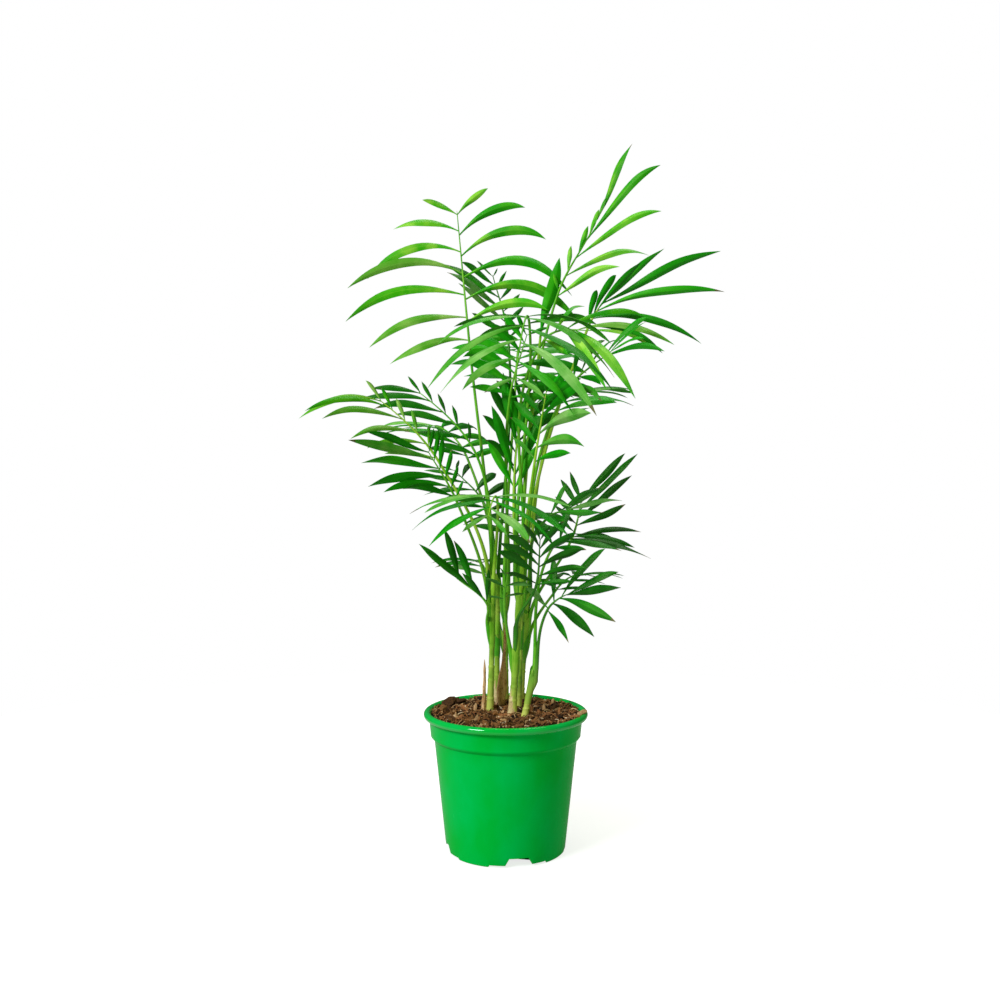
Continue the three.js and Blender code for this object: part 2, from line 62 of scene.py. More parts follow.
CANE = Sizes(flare=0.3, flare_height=9, bow=(0.45, 0.6), bulb_at=15, bulb_span=14)
CANES = dict(
    left=Sizes(at=(-11.6, 7), lean=(2, 2), height=100, foot=2.3, top=1.7),
    middle=Sizes(at=(-7, 27.4), lean=(0.5, -4), height=98, foot=2.3, top=1.7),
    front=Sizes(at=(4.5, -9.3), lean=(6.5, 5), height=112, foot=2.8, top=1.9),
    back=Sizes(at=(11.9, 37.2), lean=(4, 2), height=88, foot=2.2, top=1.7),
    right=Sizes(at=(13.3, -14.9), lean=(6.2, 2), height=34, foot=2.2, top=1.8),
    centre=Sizes(at=(9, 14.3), lean=(3, 2), height=118, foot=2.6, top=1.8),
    far=Sizes(at=(0, 39.6), lean=(-1, 2), height=84, foot=2.3, top=1.7),
)
DEAD = dict(
    dead_sheath=Sizes(at=(-4, 20.1), lean=(4, -4), height=66, foot=1.5, top=0.6, bulb=2.4),
    dead_stub=Sizes(at=(-16.6, 6.2), lean=(1, 1), height=38, foot=1.3, top=0.6),
)

RIB = Sizes(lean=3, handle=0.35, arch_at=0.68, arch_pull=2.5)
LEAFLET = Sizes(
    first=0.12, stagger=0.1, inset=0.8, last=0.97, slim=0.45, short_base=0.4, short_tip=0.95, bend=2.2,
)
CUTS = (1, 0.82, 0.66)
STAND = 1.1  # how far a petiole's foot is out of its cane
SAME_TIP = 1.6  # how near a corner of the CAD frond is to the tip of a leaflet that it has
UNEVEN = Sizes(spread=5, lift=0.08, length=0.08, droop=0.2)
SEEDS = Sizes(frond=31, lift=40, length=80, droop=120)

# The same table of fronds as in the source.
FROND = dict(
    arch=0, wide=9, spread=(75, 40), bias=0, lift=0.15, droop=(0.35, 0.35), sweep=0.1, roll=0, peak=0.42,
    left=1, right=1, tone="leaf",
)
FRONDS = dict(
    tall_left=dict(cane="middle", up=97, foot=190, turn=90, crown=(-27, 25, 370), tip=(-37, 40, 474),
        right=1.12, pairs=7, leaf=90, wide=7, spread=(76, 52), bias=4, droop=(0.5, 0.6), sweep=0,
        tone="young"),
    tall_left_back=dict(cane="middle", up=70, foot=90, turn=110, crown=(2, 45, 378), tip=(-10, 64, 430),
        pairs=6, leaf=52, wide=7, spread=(55, 40), right=0.45, droop=(0.15, 0.15), tone="dark"),
    tall_right=dict(cane="centre", up=60, foot=74, turn=75, crown=(38, 17, 405), tip=(70, 30, 468), arch=-5,
        pairs=5, leaf=92, wide=7, left=0.28, spread=(38, -2), bias=-4, peak=0.8, droop=(0.4, 0.1), sweep=0,
        tone="young"),
    spear=dict(cane="back", up=78, foot=150, turn=90, crown=(26, 22, 376), tip=(28, 23, 391), pairs=1,
        leaf=74, wide=13, spread=(8, 5), left=0.5, droop=(0, 0), sweep=0),
    front_high=dict(cane="front", up=96, foot=165, turn=-92, crown=(17, -9, 380), tip=(6, -62, 336), arch=16,
        pairs=7, leaf=70, wide=7, spread=(84, 60), droop=(0.5, 0.5), right=0.9),
    right_high=dict(cane="centre", up=90, foot=-50, turn=90, crown=(59, -12, 379), tip=(68, -18, 395),
        pairs=4, leaf=94, wide=6.5, spread=(40, 6), bias=-20, left=0.62, peak=0.97, droop=(0.75, 0.02),
        sweep=0),
    right_pale=dict(cane="front", up=111, foot=30, turn=-5, crown=(27, -24, 368), tip=(56, -36, 373), arch=3,
        pairs=5, leaf=62, wide=7, roll=40, peak=0.8, spread=(75, 18), droop=(0.5, 0.5), tone="young"),
    centre_mid=dict(cane="centre", up=104, foot=200, turn=90, crown=(6, 14, 262), tip=(10, 19, 312), pairs=6,
        leaf=60, wide=8, spread=(28, 12), droop=(0.1, 0.1)),
    right_mid=dict(cane="front", up=84, foot=0, turn=-20, crown=(41, -35, 330), tip=(72, -48, 358), pairs=7,
        leaf=54, wide=6, roll=40, peak=0.7, spread=(72, 12), droop=(0.4, 0.4)),
    right_broad=dict(cane="front", up=100, foot=-70, turn=30, crown=(20, -33, 282), tip=(28, -38, 332),
        pairs=6, leaf=58, wide=8.5, roll=20, left=0.6, spread=(58, 35), droop=(0.4, 0.4)),
    right_low=dict(cane="back", up=60, foot=10, turn=60, crown=(51, 20, 229), tip=(57, 26, 253), pairs=5,
        leaf=58, spread=(75, 32), wide=6.5, left=0.5, peak=0.9, droop=(0.1, 0.1), tone="dark"),
    right_small=dict(cane="back", up=80, foot=10, turn=0, crown=(30, -20, 243), tip=(44, -24, 249), pairs=3,
        leaf=38, wide=7, roll=45, spread=(40, 10), peak=0.9, droop=(0.15, 0.15), tone="dark"),
    right_out=dict(cane="right", up=33, foot=60, turn=10, crown=(34, -2, 220), tip=(50, 1, 228), arch=2,
        pairs=4, leaf=56, roll=35, wide=6.5, peak=0.9, spread=(72, 8), droop=(0.3, 0.3), tone="dark"),
    right_foot=dict(cane="right", up=26, foot=-20, turn=-10, crown=(29, -30, 178), tip=(43, -36, 190),
        arch=2, pairs=4, leaf=50, wide=7, roll=50, peak=0.85, spread=(90, 8), droop=(0.45, 0.12),
        tone="dark"),
    left_foot=dict(cane="left", up=62, foot=200, turn=180, crown=(-14, -5, 180), tip=(-35, -8, 198), pairs=3,
        leaf=42, wide=6, roll=-70, peak=0.9, spread=(18, 16), bias=-20, droop=(0.05, 0.05), tone="dark"),
    front_low=dict(cane="left", up=90, foot=-80, turn=-90, crown=(-6, -20, 254), tip=(-12, -58, 245), arch=8,
        pairs=6, leaf=60, wide=8, spread=(80, 46), droop=(0.32, 0.38)),
    left_mid=dict(cane="left", up=76, foot=215, turn=170, crown=(-36, -15, 256), tip=(-55, -26, 290),
        pairs=6, leaf=64, wide=6.5, roll=-60, right=0.4, spread=(46, 41), droop=(0.5, 0.05), peak=0.8),
    left_far=dict(cane="left", up=98, foot=170, turn=180, crown=(-49, 0, 283), tip=(-91, -8, 327), arch=4,
        pairs=6, leaf=62, wide=5, roll=-55, right=0.35, peak=0.95, spread=(50, 20), droop=(0.35, 0.5),
        tone="young"),
    left_dark=dict(cane="left", up=84, foot=110, turn=150, crown=(-20, 11, 284), tip=(-65, 22, 335), arch=5,
        pairs=6, leaf=50, wide=5.5, roll=-60, right=0.4, peak=0.85, spread=(38, 20), droop=(0.3, 0.3),
        tone="dark"),
    centre_dark=dict(cane="centre", up=112, foot=130, turn=90, crown=(7, 30, 277), tip=(13, 34, 329),
        pairs=6, leaf=54, wide=7, spread=(42, 22), tone="dark"),
    centre_high=dict(cane="far", up=80, foot=20, turn=90, crown=(3, 14, 330), tip=(16, 18, 378), pairs=7,
        leaf=52, wide=8, spread=(75, 45), droop=(0.5, 0.4)),
    centre_low=dict(cane="front", up=60, foot=-110, turn=90, crown=(21, -35, 196), tip=(23, -56, 230),
        pairs=6, leaf=42, wide=7, spread=(62, 20), droop=(0.2, 0.2), tone="dark"),
    centre_small=dict(cane="front", up=44, foot=-170, turn=-100, crown=(-1, -25, 185), tip=(1, -36, 203),
        pairs=3, leaf=20, wide=6, tone="dark"),
    back_left_dark=dict(cane="middle", up=52, foot=150, turn=160, crown=(-14, 36, 246), tip=(-40, 62, 277),
        pairs=6, leaf=42, roll=-30, tone="dark"),
    back_high=dict(cane="far", up=84, foot=85, turn=85, crown=(8, 60, 346), tip=(12, 128, 379), arch=14,
        pairs=7, leaf=66),
    back_right=dict(cane="back", up=86, foot=40, turn=55, crown=(36, 62, 314), tip=(66, 116, 340), arch=12,
        pairs=7, leaf=60),
    back_left=dict(cane="far", up=76, foot=150, turn=130, crown=(-30, 66, 286), tip=(-66, 114, 313), arch=12,
        pairs=7, leaf=58),
    back_mid=dict(cane="back", up=70, foot=95, turn=95, crown=(8, 72, 224), tip=(12, 130, 234), arch=12,
        pairs=7, leaf=54, tone="dark"),
    back_low_right=dict(cane="back", up=46, foot=20, turn=45, crown=(40, 62, 182), tip=(66, 92, 191), arch=6,
        pairs=5, leaf=42, tone="dark"),
    back_low_left=dict(cane="far", up=50, foot=180, turn=120, crown=(-14, 66, 192), tip=(-26, 102, 201),
        arch=8, pairs=5, leaf=44, tone="dark"),
)

# ---------------- small helpers


def unit(v):
    return v / np.linalg.norm(v, axis=-1, keepdims=True)


def dot(a, b):
    return (a * b).sum(axis=-1, keepdims=True)


def level(angle):
    """A level direction, by its angle from +X towards +Y."""
    return np.array([cos(radians(angle)), sin(radians(angle)), 0.0])


def uneven(number):
    """The source's steady unevenness between -1 and 1."""
    return sin(number * 2.399) * 0.7 + sin(number * 5.13) * 0.3


def smooth(low, high, x):
    t = np.clip((x - low) / (high - low), 0, 1)
    return t * t * (3 - 2 * t)


def hex_colour(code):
    """A colour written as six hex digits, as linear light."""
    parts = [int(code[k:k + 2], 16) / 255 for k in (0, 2, 4)]
    return [p / 12.92 if p <= 0.04045 else ((p + 0.055) / 1.055) ** 2.4 for p in parts] + [1.0]


# ---------------- meshes


class Shapes:
    """Closed shapes skinned over rings of points, which become one piece."""

    def __init__(self):
        self.points, self.loops, self.sizes, self.uvs, self.slots = [], [], [], [], []
        self.count = 0

    def add(self, points, slots=0, across=None, along=None):
        """points is (shapes, rings, sides, 3), in millimetres, and each shape is capped at both ends.
        slots spreads over (shapes, rings - 1, sides). across and along are the texture coordinates."""
        shapes, rings, sides = points.shape[:3]
        if across is None:
            across = np.linspace(0, 1, sides + 1)
        if along is None:
            steps = np.linalg.norm(np.diff(points.mean(axis=2), axis=1), axis=-1)
            along = np.concatenate([np.zeros((shapes, 1)), np.cumsum(steps, axis=1)], axis=1)
        ring, side = (k.reshape(-1) for k in np.meshgrid(range(rings - 1), range(sides), indexing="ij"))
        after = (side + 1) % sides
        low, high = ring * sides, (ring + 1) * sides
        corners = np.stack([low + side, low + after, high + after, high + side], axis=-1)
        base = self.count + np.arange(shapes)[:, None, None] * rings * sides
        uv_u = across[side[:, None] + [0, 1, 1, 0]]
        uv_v = along[:, ring[:, None] + [0, 0, 1, 1]]
        uv = np.stack([np.broadcast_to(uv_u, uv_v.shape), uv_v], axis=-1)
        self.loops.append((base + corners).reshape(-1))
        self.sizes.append(np.full(shapes * len(ring), 4))
        self.uvs.append(uv.reshape(-1, 2))
        spread = np.broadcast_to(slots, (shapes, rings - 1, sides))
        self.slots.append(spread.reshape(-1))
        start = np.arange(sides)[::-1]
        end = (rings - 1) * sides + np.arange(sides)
        for cap, row in ((start, 0), (end, -1)):
            self.loops.append((base[:, 0] + cap).reshape(-1))
            self.sizes.append(np.full(shapes, sides))
            self.uvs.append(np.tile([across[0], 0.0], (shapes * sides, 1)))
            self.slots.append(spread[:, row, 0])
        self.points.append(points.reshape(-1, 3))
        self.count += shapes * rings * sides

    def piece(self, name, materials, sharp=50):
        """All the shapes as one object. Edges that turn by more than sharp degrees stay sharp."""
        points = np.concatenate(self.points) * MM
        loops = np.concatenate(self.loops)
        sizes = np.concatenate(self.sizes)
        mesh = bpy.data.meshes.new(name)
        mesh.vertices.add(len(points))
        mesh.loops.add(len(loops))
        mesh.polygons.add(len(sizes))
        mesh.vertices.foreach_set("co", points.astype(np.float32).reshape(-1))
        mesh.loops.foreach_set("vertex_index", loops.astype(np.int32))
        starts = np.concatenate([[0], np.cumsum(sizes)[:-1]])
        mesh.polygons.foreach_set("loop_start", starts.astype(np.int32))
        mesh.uv_layers.new(name="UVMap").data.foreach_set(
            "uv", np.concatenate(self.uvs).astype(np.float32).reshape(-1)
        )
        for material in materials:
            mesh.materials.append(material)
        mesh.polygons.foreach_set("material_index", np.concatenate(self.slots).astype(np.int32))
        mesh.update(calc_edges=True)
        mesh.shade_smooth()
        mesh.set_sharp_from_angle(angle=radians(sharp))
        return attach(placed(name, mesh), "root")


def placed(name, data):
    """A new object in the scene, for a mesh, a camera or a light."""
    made = bpy.data.objects.new(name, data)
    bpy.context.scene.collection.objects.link(made)
    return made


def solid(name, points, faces):
    """An object from points in millimetres and the corners of its faces."""
    mesh = bpy.data.meshes.new(name)
    mesh.from_pydata([(x * MM, y * MM, z * MM) for x, y, z in points], [], faces)
    return placed(name, mesh)


def circle(sides):
    """The angles of evenly spaced points round a circle."""
    return np.linspace(0, 2 * pi, sides, endpoint=False)


def turned(a, b, angle):
    """Two directions at right angles, turned in their plane."""
    return a * np.cos(angle) + b * np.sin(angle), b * np.cos(angle) - a * np.sin(angle)


def tube(centres, a, b, radii, sides):
    """Rings of sides points round centres, in the plane of a and b. radii is one radius a ring or a point."""
    angle = circle(sides)
    radii = np.asarray(radii, float)
    if radii.ndim == 1:
        radii = radii[:, None]
    ring = np.cos(angle)[None, :, None] * a[:, None] + np.sin(angle)[None, :, None] * b[:, None]
    return (centres[:, None] + ring * radii[..., None])[None]


# ---------------- materials


class Surface:
    """A node material, and short ways to add nodes in front of its shader. shine and tint are those of its
    reflections. A colour is four numbers or six hex digits."""

    def __init__(self, name, rough, shine, tint=(1, 1, 1, 1)):
        self.material = bpy.data.materials.new(name)
        self.material.use_nodes = True
        self.tree = self.material.node_tree
        self.shader = self.tree.nodes["Principled BSDF"]
        sockets = {"Roughness": rough, "Specular IOR Level": shine, "Specular Tint": tint}
        for key, value in sockets.items():
            self.shader.inputs[key].default_value = value

    def node(self, kind, inputs=None, **settings):
        made = self.tree.nodes.new(kind)
        for key, value in settings.items():
            setattr(made, key, value)
        for key, value in (inputs or {}).items():
            if hasattr(value, "is_output"):
                self.tree.links.new(value, made.inputs[key])
            else:
                made.inputs[key].default_value = hex_colour(value) if isinstance(value, str) else value
        return made

    def place(self, scale=(1, 1, 1), uv=False):
        """Coordinates in millimetres, or the piece's own texture coordinates, scaled."""
        source = self.node("ShaderNodeTexCoord").outputs["UV" if uv else "Object"]
        size = scale if uv else [s * 1000 for s in scale]
        return self.node("ShaderNodeMapping", {"Vector": source, "Scale": size}).outputs["Vector"]

    def noise(self, vector, span, detail=3.0, rough=0.5):
        """Noise whose lumps are about span wide."""
        made = self.node(
            "ShaderNodeTexNoise", {"Vector": vector, "Scale": 1 / span, "Detail": detail, "Roughness": rough}
        )
        return made.outputs["Fac"]

    def range(self, value, low, high, to_low=0.0, to_high=1.0):
        made = self.node(
            "ShaderNodeMapRange",
            {"Value": value, "From Min": low, "From Max": high, "To Min": to_low, "To Max": to_high},
        )
        return made.outputs["Result"]

    def mix(self, share, a, b):
        """Colour a, or a share of colour b. The numbers are the node's sockets for a colour."""
        return self.node("ShaderNodeMix", {0: share, 6: a, 7: b}, data_type="RGBA").outputs[2]

    def maths(self, operation, a, b=0.0):
        return self.node("ShaderNodeMath", {0: a, 1: b}, operation=operation).outputs[0]

    def colour(self, value):
        self.tree.links.new(value, self.shader.inputs["Base Color"])

    def roughness(self, value):
        self.tree.links.new(value, self.shader.inputs["Roughness"])

    def bump(self, height, depth, strength=1.0):
        """depth is in millimetres."""
        made = self.node("ShaderNodeBump", {"Height": height, "Strength": strength, "Distance": depth * MM})
        self.tree.links.new(made.outputs["Normal"], self.shader.inputs["Normal"])


def leaf_surface(name, code, light, rough, vein=0.22):
    """A leaflet's skin: mottled, with one half darker as painted shade of its fold and deeper towards the tip
    as painted shade where it bends down, with a pale midrib and fine veins along it."""
    s = Surface(name, rough, 0.34, (0.7, 1, 0.4, 1))
    # Painted shade of the fold at the midrib: the base colour darkened, laid over one half of the leaflet.
    deep = [0.55 * part for part in hex_colour(code)[:3]] + [1]
    mottle = s.range(s.noise(s.place(), 17, 4), 0.4, 0.62, 0.0, 0.8)
    uv = s.place(uv=True)
    across, along = (s.node("ShaderNodeSeparateXYZ", {"Vector": uv}).outputs[k] for k in ("X", "Y"))
    off_middle = s.maths("ABSOLUTE", s.maths("SUBTRACT", across, 0.25))
    midrib = s.range(off_middle, 0.008, 0.02, vein, 0.0)
    veins = s.node("ShaderNodeTexWave", {"Vector": uv, "Scale": 9.0})
    fine = s.range(veins.outputs["Fac"], 0.2, 0.9, 0.0, 0.1)
    tint = s.mix(mottle, code, light)
    # One half of the leaflet takes the painted fold shade.
    tint = s.mix(s.range(across, 0.22, 0.28, 0.0, 0.4), tint, deep)
    # Towards the tip the colour goes back to the plain base colour, darker than the mottle: painted shade
    # where the blade bends down.
    tint = s.mix(s.range(along, 24, 72, 0.0, 0.75), tint, code)
    tint = s.mix(fine, tint, light)
    s.colour(s.mix(midrib, tint, light))
    s.roughness(s.range(s.noise(s.place(), 5), 0.3, 0.7, rough - 0.06, rough + 0.08))
    s.bump(s.maths("ADD", veins.outputs["Fac"], s.maths("MULTIPLY", midrib, 4.0)), 0.06, 0.6)
    return s.material


def stalk_surface(name, code, light, rough=0.42, foot="b8c858", fade=40):
    """A smooth green stalk with long faint streaks, which fades to the colour foot at the soil."""
    s = Surface(name, rough, 0.32, (0.8, 1, 0.5, 1))
    streak = s.noise(s.place((1, 1, 0.12)), 1.1, 3)
    patch = s.noise(s.place(), 18, 2)
    tint = s.mix(s.range(patch, 0.35, 0.7, 0.0, 0.7), code, light)
    tint = s.mix(s.range(streak, 0.45, 0.8, 0.0, 0.45), tint, light)
    height = s.node("ShaderNodeSeparateXYZ", {"Vector": s.place()}).outputs["Z"]
    s.colour(s.mix(s.range(height, SOIL_TOP, SOIL_TOP + fade, 0.85, 0.0), tint, foot))
    s.bump(streak, 0.12, 0.5)
    return s.material


def papery_surface(name, code, light, dark):
    """Dry papery fibre that runs up the sheath, with dark specks."""
    s = Surface(name, 0.82, 0.25)
    fibre = s.noise(s.place((1, 1, 0.09)), 0.55, 4, 0.6)
    patch = s.noise(s.place((1, 1, 0.5)), 5, 3)
    tint = s.mix(s.range(patch, 0.35, 0.65), code, light)
    tint = s.mix(s.range(fibre, 0.5, 0.75, 0.0, 0.6), tint, dark)
    specks = s.range(s.noise(s.place((1, 1, 0.6)), 0.9, 2), 0.6, 0.68, 0.0, 0.75)
    s.colour(s.mix(specks, tint, dark))
    s.bump(fibre, 0.35, 0.8)
    return s.material


def crumb_surface(name, code, light):
    """Bark and coir: fibrous, matt and mottled."""
    s = Surface(name, 0.9, 0.25)
    grain = s.noise(s.place(), 1.3, 5, 0.65)
    s.colour(s.mix(s.range(grain, 0.35, 0.7, 0.0, 0.75), code, light))
    s.bump(grain, 0.4, 0.9)
    return s.material


def pot_surface(name, rough, shine, tint):
    """Thin moulded plastic with faint clouding and a fine skin."""
    s = Surface(name, rough, shine, tint)
    cloud = s.noise(s.place((1, 1, 0.6)), 26, 3)
    speck = s.noise(s.place(), 1.6, 2)
    s.colour(s.mix(s.range(cloud, 0.35, 0.7), "00b036", "00b84e"))
    s.roughness(s.range(cloud, 0.3, 0.7, rough * 0.8, rough * 1.2))
    s.bump(s.maths("ADD", cloud, s.maths("MULTIPLY", speck, 0.12)), 0.25, 0.25)
    return s.material


def floor_surface():
    """White paper that glows a little, more so away from the pot, so that it runs out into the white walls.
    Most of the glow is for the camera, so that little light comes up from below."""
    s = Surface("studio_floor", 0.8, 0.1)
    cloud = s.noise(s.place(), 300, 3)
    s.colour(s.mix(cloud, (0.34, 0.34, 0.34, 1), (0.36, 0.36, 0.36, 1)))
    away = s.node("ShaderNodeVectorMath", {0: s.place()}, operation="LENGTH").outputs["Value"]
    seen = s.node("ShaderNodeLightPath").outputs["Is Camera Ray"]
    glow = s.maths("MULTIPLY", s.range(away, 50, 260, 0.78, 0.92), s.range(seen, 0, 1, 0.25, 1))
    s.tree.links.new(glow, s.shader.inputs["Emission Strength"])
    return s.material


# ---------------- canes

CANE_SKIN = Sizes(rings=150, sides=28, sunk=2.5, tip=9)  # it runs on into the soil, and closes over its tip
DEAD_SKIN = Sizes(rings=90, sides=40, sunk=2.5, tip=9)
SCAR = Sizes(first=9, apart=13, uneven=3, rise=0.28, span=0.7, dip=0.12, dip_at=1.6, dip_span=0.9)
DRY_PATCH = Sizes(height=16, facing=205, canes=("front", "middle"))


def cane_axis(cane, up):
    """The middle of a cane at a height above its foot."""
    share = np.asarray(up, float) / cane.height
    bow = np.sin(pi * share)
    x = cane.at[0] + cane.lean[0] * share + CANE.bow[0] * bow
    y = cane.at[1] + cane.lean[1] * share + CANE.bow[1] * bow
    return np.stack([x, y, SOIL_TOP + CLEARANCE + share * cane.height], axis=-1)


def cane_radius(cane, up):
    up = np.asarray(up, float)
    flare = 1 + CANE.flare * np.exp(-up / CANE.flare_height)
    bulb = getattr(cane, "bulb", 0) * np.exp(-((up - CANE.bulb_at) / CANE.bulb_span) ** 2)
    return (cane.foot + (cane.top - cane.foot) * (up / cane.height)) * flare + bulb


def cane_points(cane, skin, relief):
    """A cane's skin. relief(up, angle) is added to its radius."""
    up = np.linspace(-skin.sunk, cane.height, skin.rings)
    close = np.sqrt(np.clip((cane.height - up) / skin.tip, 0.02, 1))
    radii = cane_radius(cane, np.maximum(up, 0))[:, None] + relief(up[:, None], circle(skin.sides)[None])
    x_axis, y_axis = (np.tile(axis, (skin.rings, 1)) for axis in ([1.0, 0, 0], [0, 1.0, 0]))
    return tube(cane_axis(cane, up), x_axis, y_axis, radii * close[:, None], skin.sides)


def ring_scars(cane, seed):
    """Raised ring scars with a dip above each, and the faint ribs of the sheaths between them."""
    count = int(cane.height / SCAR.apart)
    heights = [SCAR.first + SCAR.apart * k + SCAR.uneven * uneven(seed * 7 + k) for k in range(count)]

    def relief(up, angle):
        bump = 0.05 * np.sin(angle * 9 + seed) * smooth(4, 20, up)
        bump = bump + 0.1 * np.sin(angle * 2 + up * 0.11 + seed)
        for height in heights:
            bump = bump + SCAR.rise * np.exp(-((up - height) / SCAR.span) ** 2)
            bump = bump - SCAR.dip * np.exp(-((up - height - SCAR.dip_at) / SCAR.dip_span) ** 2)
        return bump

    return relief


def dry_foot(cane, seed):
    """Which faces of a cane's foot are dry and papery: a ragged patch on its left side."""
    up = np.linspace(-CANE_SKIN.sunk, cane.height, CANE_SKIN.rings)[:-1, None]
    angle = circle(CANE_SKIN.sides)[None]
    patch = DRY_PATCH.height * smooth(0.1, 0.9, np.cos(angle - radians(DRY_PATCH.facing)))
    ragged = 2.2 * np.sin(angle * 5 + seed) + 1.5 * np.sin(angle * 11 + 2 * seed)
    return (up < patch + ragged).astype(int)


def papery_relief(seed):
    """Loose folds of a dry sheath, deeper towards its ragged top."""

    def relief(up, angle):
        fold = 0.22 * np.sin(angle * 5 + up * 0.06 + seed) + 0.16 * np.sin(angle * 11 - up * 0.17 + 2 * seed)
        return fold + 0.22 * np.sin(up * 0.55 + 3 * np.sin(angle + seed)) * np.exp(-up / 30)

    return relief


# ---------------- fronds


def bezier(points, t):
    """Points and unit tangents of a cubic Bezier curve."""
    t = np.asarray(t, float)[..., None]
    p = [np.asarray(q, float) for q in points]
    put = (1 - t) ** 3 * p[0] + 3 * t * (1 - t) ** 2 * p[1] + 3 * t * t * (1 - t) * p[2] + t ** 3 * p[3]
    run = 3 * ((1 - t) ** 2 * (p[1] - p[0]) + 2 * t * (1 - t) * (p[2] - p[1]) + t * t * (p[3] - p[2]))
    return put, unit(run)


def rib_of(frond):
    """A frond's petiole and blade curves, by the source's rule, and its side."""
    cane = CANES[frond.cane]
    out = level(frond.foot)
    foot = cane_axis(cane, frond.up) + out * (cane_radius(cane, frond.up) + STAND)
    crown, tip = np.array(frond.crown, float), np.array(frond.tip, float)
    rise = np.linalg.norm(crown - foot)
    reach = np.linalg.norm(tip - crown)
    along = unit(unit(crown - foot) + unit(tip - crown) + UP * (RIB.arch_pull * frond.arch / reach))
    rising = foot + UP * rise * RIB.handle + out * RIB.lean
    arched = crown + (tip - crown) * RIB.arch_at + UP * frond.arch
    petiole = [foot, rising, crown - along * rise * RIB.handle, crown]
    blade = [crown, crown + along * reach * RIB.handle, arched, tip]
    return petiole, blade, level(frond.turn + 90)


def axes_at(tangent, side, roll):
    """The ways to the left of a frond's curve and out of its face."""
    left = unit(side - tangent * dot(tangent, np.broadcast_to(side, tangent.shape)))
    return turned(left, np.cross(tangent, left), radians(roll))


def length_at(t, peak):
    """A leaflet's share of its frond's longest, by its place on the blade."""
    if t < peak:
        return 1 - LEAFLET.short_base * ((peak - t) / peak) ** 2
    return 1 - LEAFLET.short_tip * (1 - peak) ** 0.5 * ((t - peak) / (1 - peak)) ** 2


def leaflets_of(frond):
    """Every leaflet that the source's rule gives a frond, with its root, directions and sizes."""
    _, blade, side = frond.rib
    made = []
    for pair in range(frond.pairs):
        for hand in (1, -1):
            number = frond.number * SEEDS.frond + pair * 2 + (hand > 0)
            place = pair + LEAFLET.first + hand * LEAFLET.stagger
            t = min(LEAFLET.last, place / (frond.pairs - LEAFLET.inset))
            root, tangent = bezier(blade, t)
            left, face = axes_at(tangent, side, frond.roll)
            spread = frond.spread[0] + (frond.spread[1] - frond.spread[0]) * t
            spread = radians(spread + hand * frond.bias + UNEVEN.spread * uneven(number))
            droop = frond.droop[0] + (frond.droop[1] - frond.droop[0]) * t
            share = length_at(t, frond.peak) * (frond.left if hand > 0 else frond.right)
            along = tangent * cos(spread) + left * hand * sin(spread)
            along = unit(along + face * (frond.lift + UNEVEN.lift * uneven(number + SEEDS.lift)))
            made.append(dict(
                root=root, along=along, face=face, tangent=tangent, sweep=frond.sweep,
                length=frond.leaf * share * (1 + UNEVEN.length * uneven(number + SEEDS.length)),
                width=frond.wide * (LEAFLET.slim + (1 - LEAFLET.slim) * share),
                droop=droop * share * (1 + UNEVEN.droop * uneven(number + SEEDS.droop)),
            ))
    return made


def grown_leaflets(frond):
    """The leaflets that the CAD frond has too, cut as there. Each is found by its tip."""
    corners = np.array([v.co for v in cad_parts[frond.name].data.vertices]) / MM
    kept = []
    for leaflet in leaflets_of(frond):
        bent = leaflet["along"] - UP * leaflet["droop"] + leaflet["tangent"] * leaflet["sweep"]
        for cut in CUTS:
            tip = leaflet["root"] + bent * leaflet["length"] * cut
            if np.linalg.norm(corners - tip, axis=1).min() < SAME_TIP:
                leaflet["length"] *= cut
                leaflet["width"] *= PLUMP.get(frond.name, 1.0)
                kept.append(leaflet)
                break
    return kept


# The leaflets' own fine shape. They curl from the share curl of their length.
BLADE = Sizes(stations=20, across=9, thick=0.34, edge=0.12, slender=0.16, curl=0.62)
S = 1 - (1 - np.linspace(0, 1, BLADE.stations)) ** 1.15  # closer together towards the tip
PROFILE = 5.1 * S ** 1.4 * (1 - S) + 0.15 * (1 - S) ** 8  # widest a little past the middle
PROFILE[-1] = 0.015
SIDE = np.linspace(-1, 1, BLADE.across)
SECTION = np.concatenate([SIDE, SIDE[::-1]])  # over the top from left to right, and back underneath
TOP = np.repeat([1.0, -1.0], BLADE.across)
ACROSS_UV = (np.append(SECTION, SECTION[0]) + 1) / 4

# How leaflets differ: each of these is drawn for each leaflet, in this order.
VARIED = dict(
    sag=(0.0, 0.05), bow=(-0.03, 0.03), snake=(-0.012, 0.012), turn=(-0.14, 0.14), twist=(-0.4, 0.4),
    tip_twist=(-0.8, 0.8), width=(0.92, 1.06), foot_fold=(0.3, 0.55), fold=(0.08, 0.26), wave=(0.05, 0.25),
    waves=(9, 17), phase=(0, 6),
)


